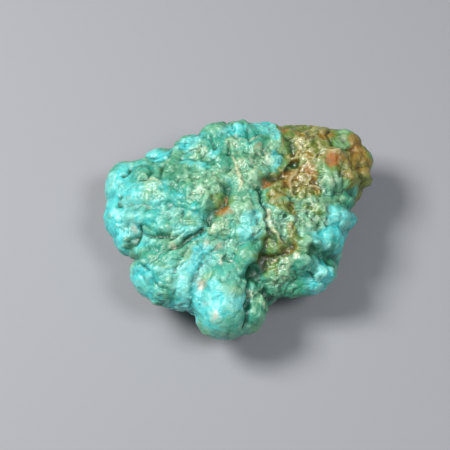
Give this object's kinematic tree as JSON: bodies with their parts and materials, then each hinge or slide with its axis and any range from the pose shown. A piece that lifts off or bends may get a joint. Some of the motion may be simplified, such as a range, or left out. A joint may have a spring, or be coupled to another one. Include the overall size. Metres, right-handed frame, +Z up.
{
  "type": "raw turquoise nugget",
  "caption": "Knobbly raw turquoise stone lying on its worn underside, with a round knob in front, ribs fanning out on the left and host rock at the back right.",
  "frame": {"origin": "on the ground, under the middle of the stone's box", "axes": "+X along the stone to the host rock's side, +Y to its back, +Z up"},
  "size_m": [0.0506, 0.043, 0.02],
  "materials": {
    "turquoise": "waxy natural turquoise, sky blue on the swellings, green in the creases, olive brown on the host rock"
  },
  "bodies": {
    "root": {"nugget": "turquoise"}
  },
  "joints": []
}
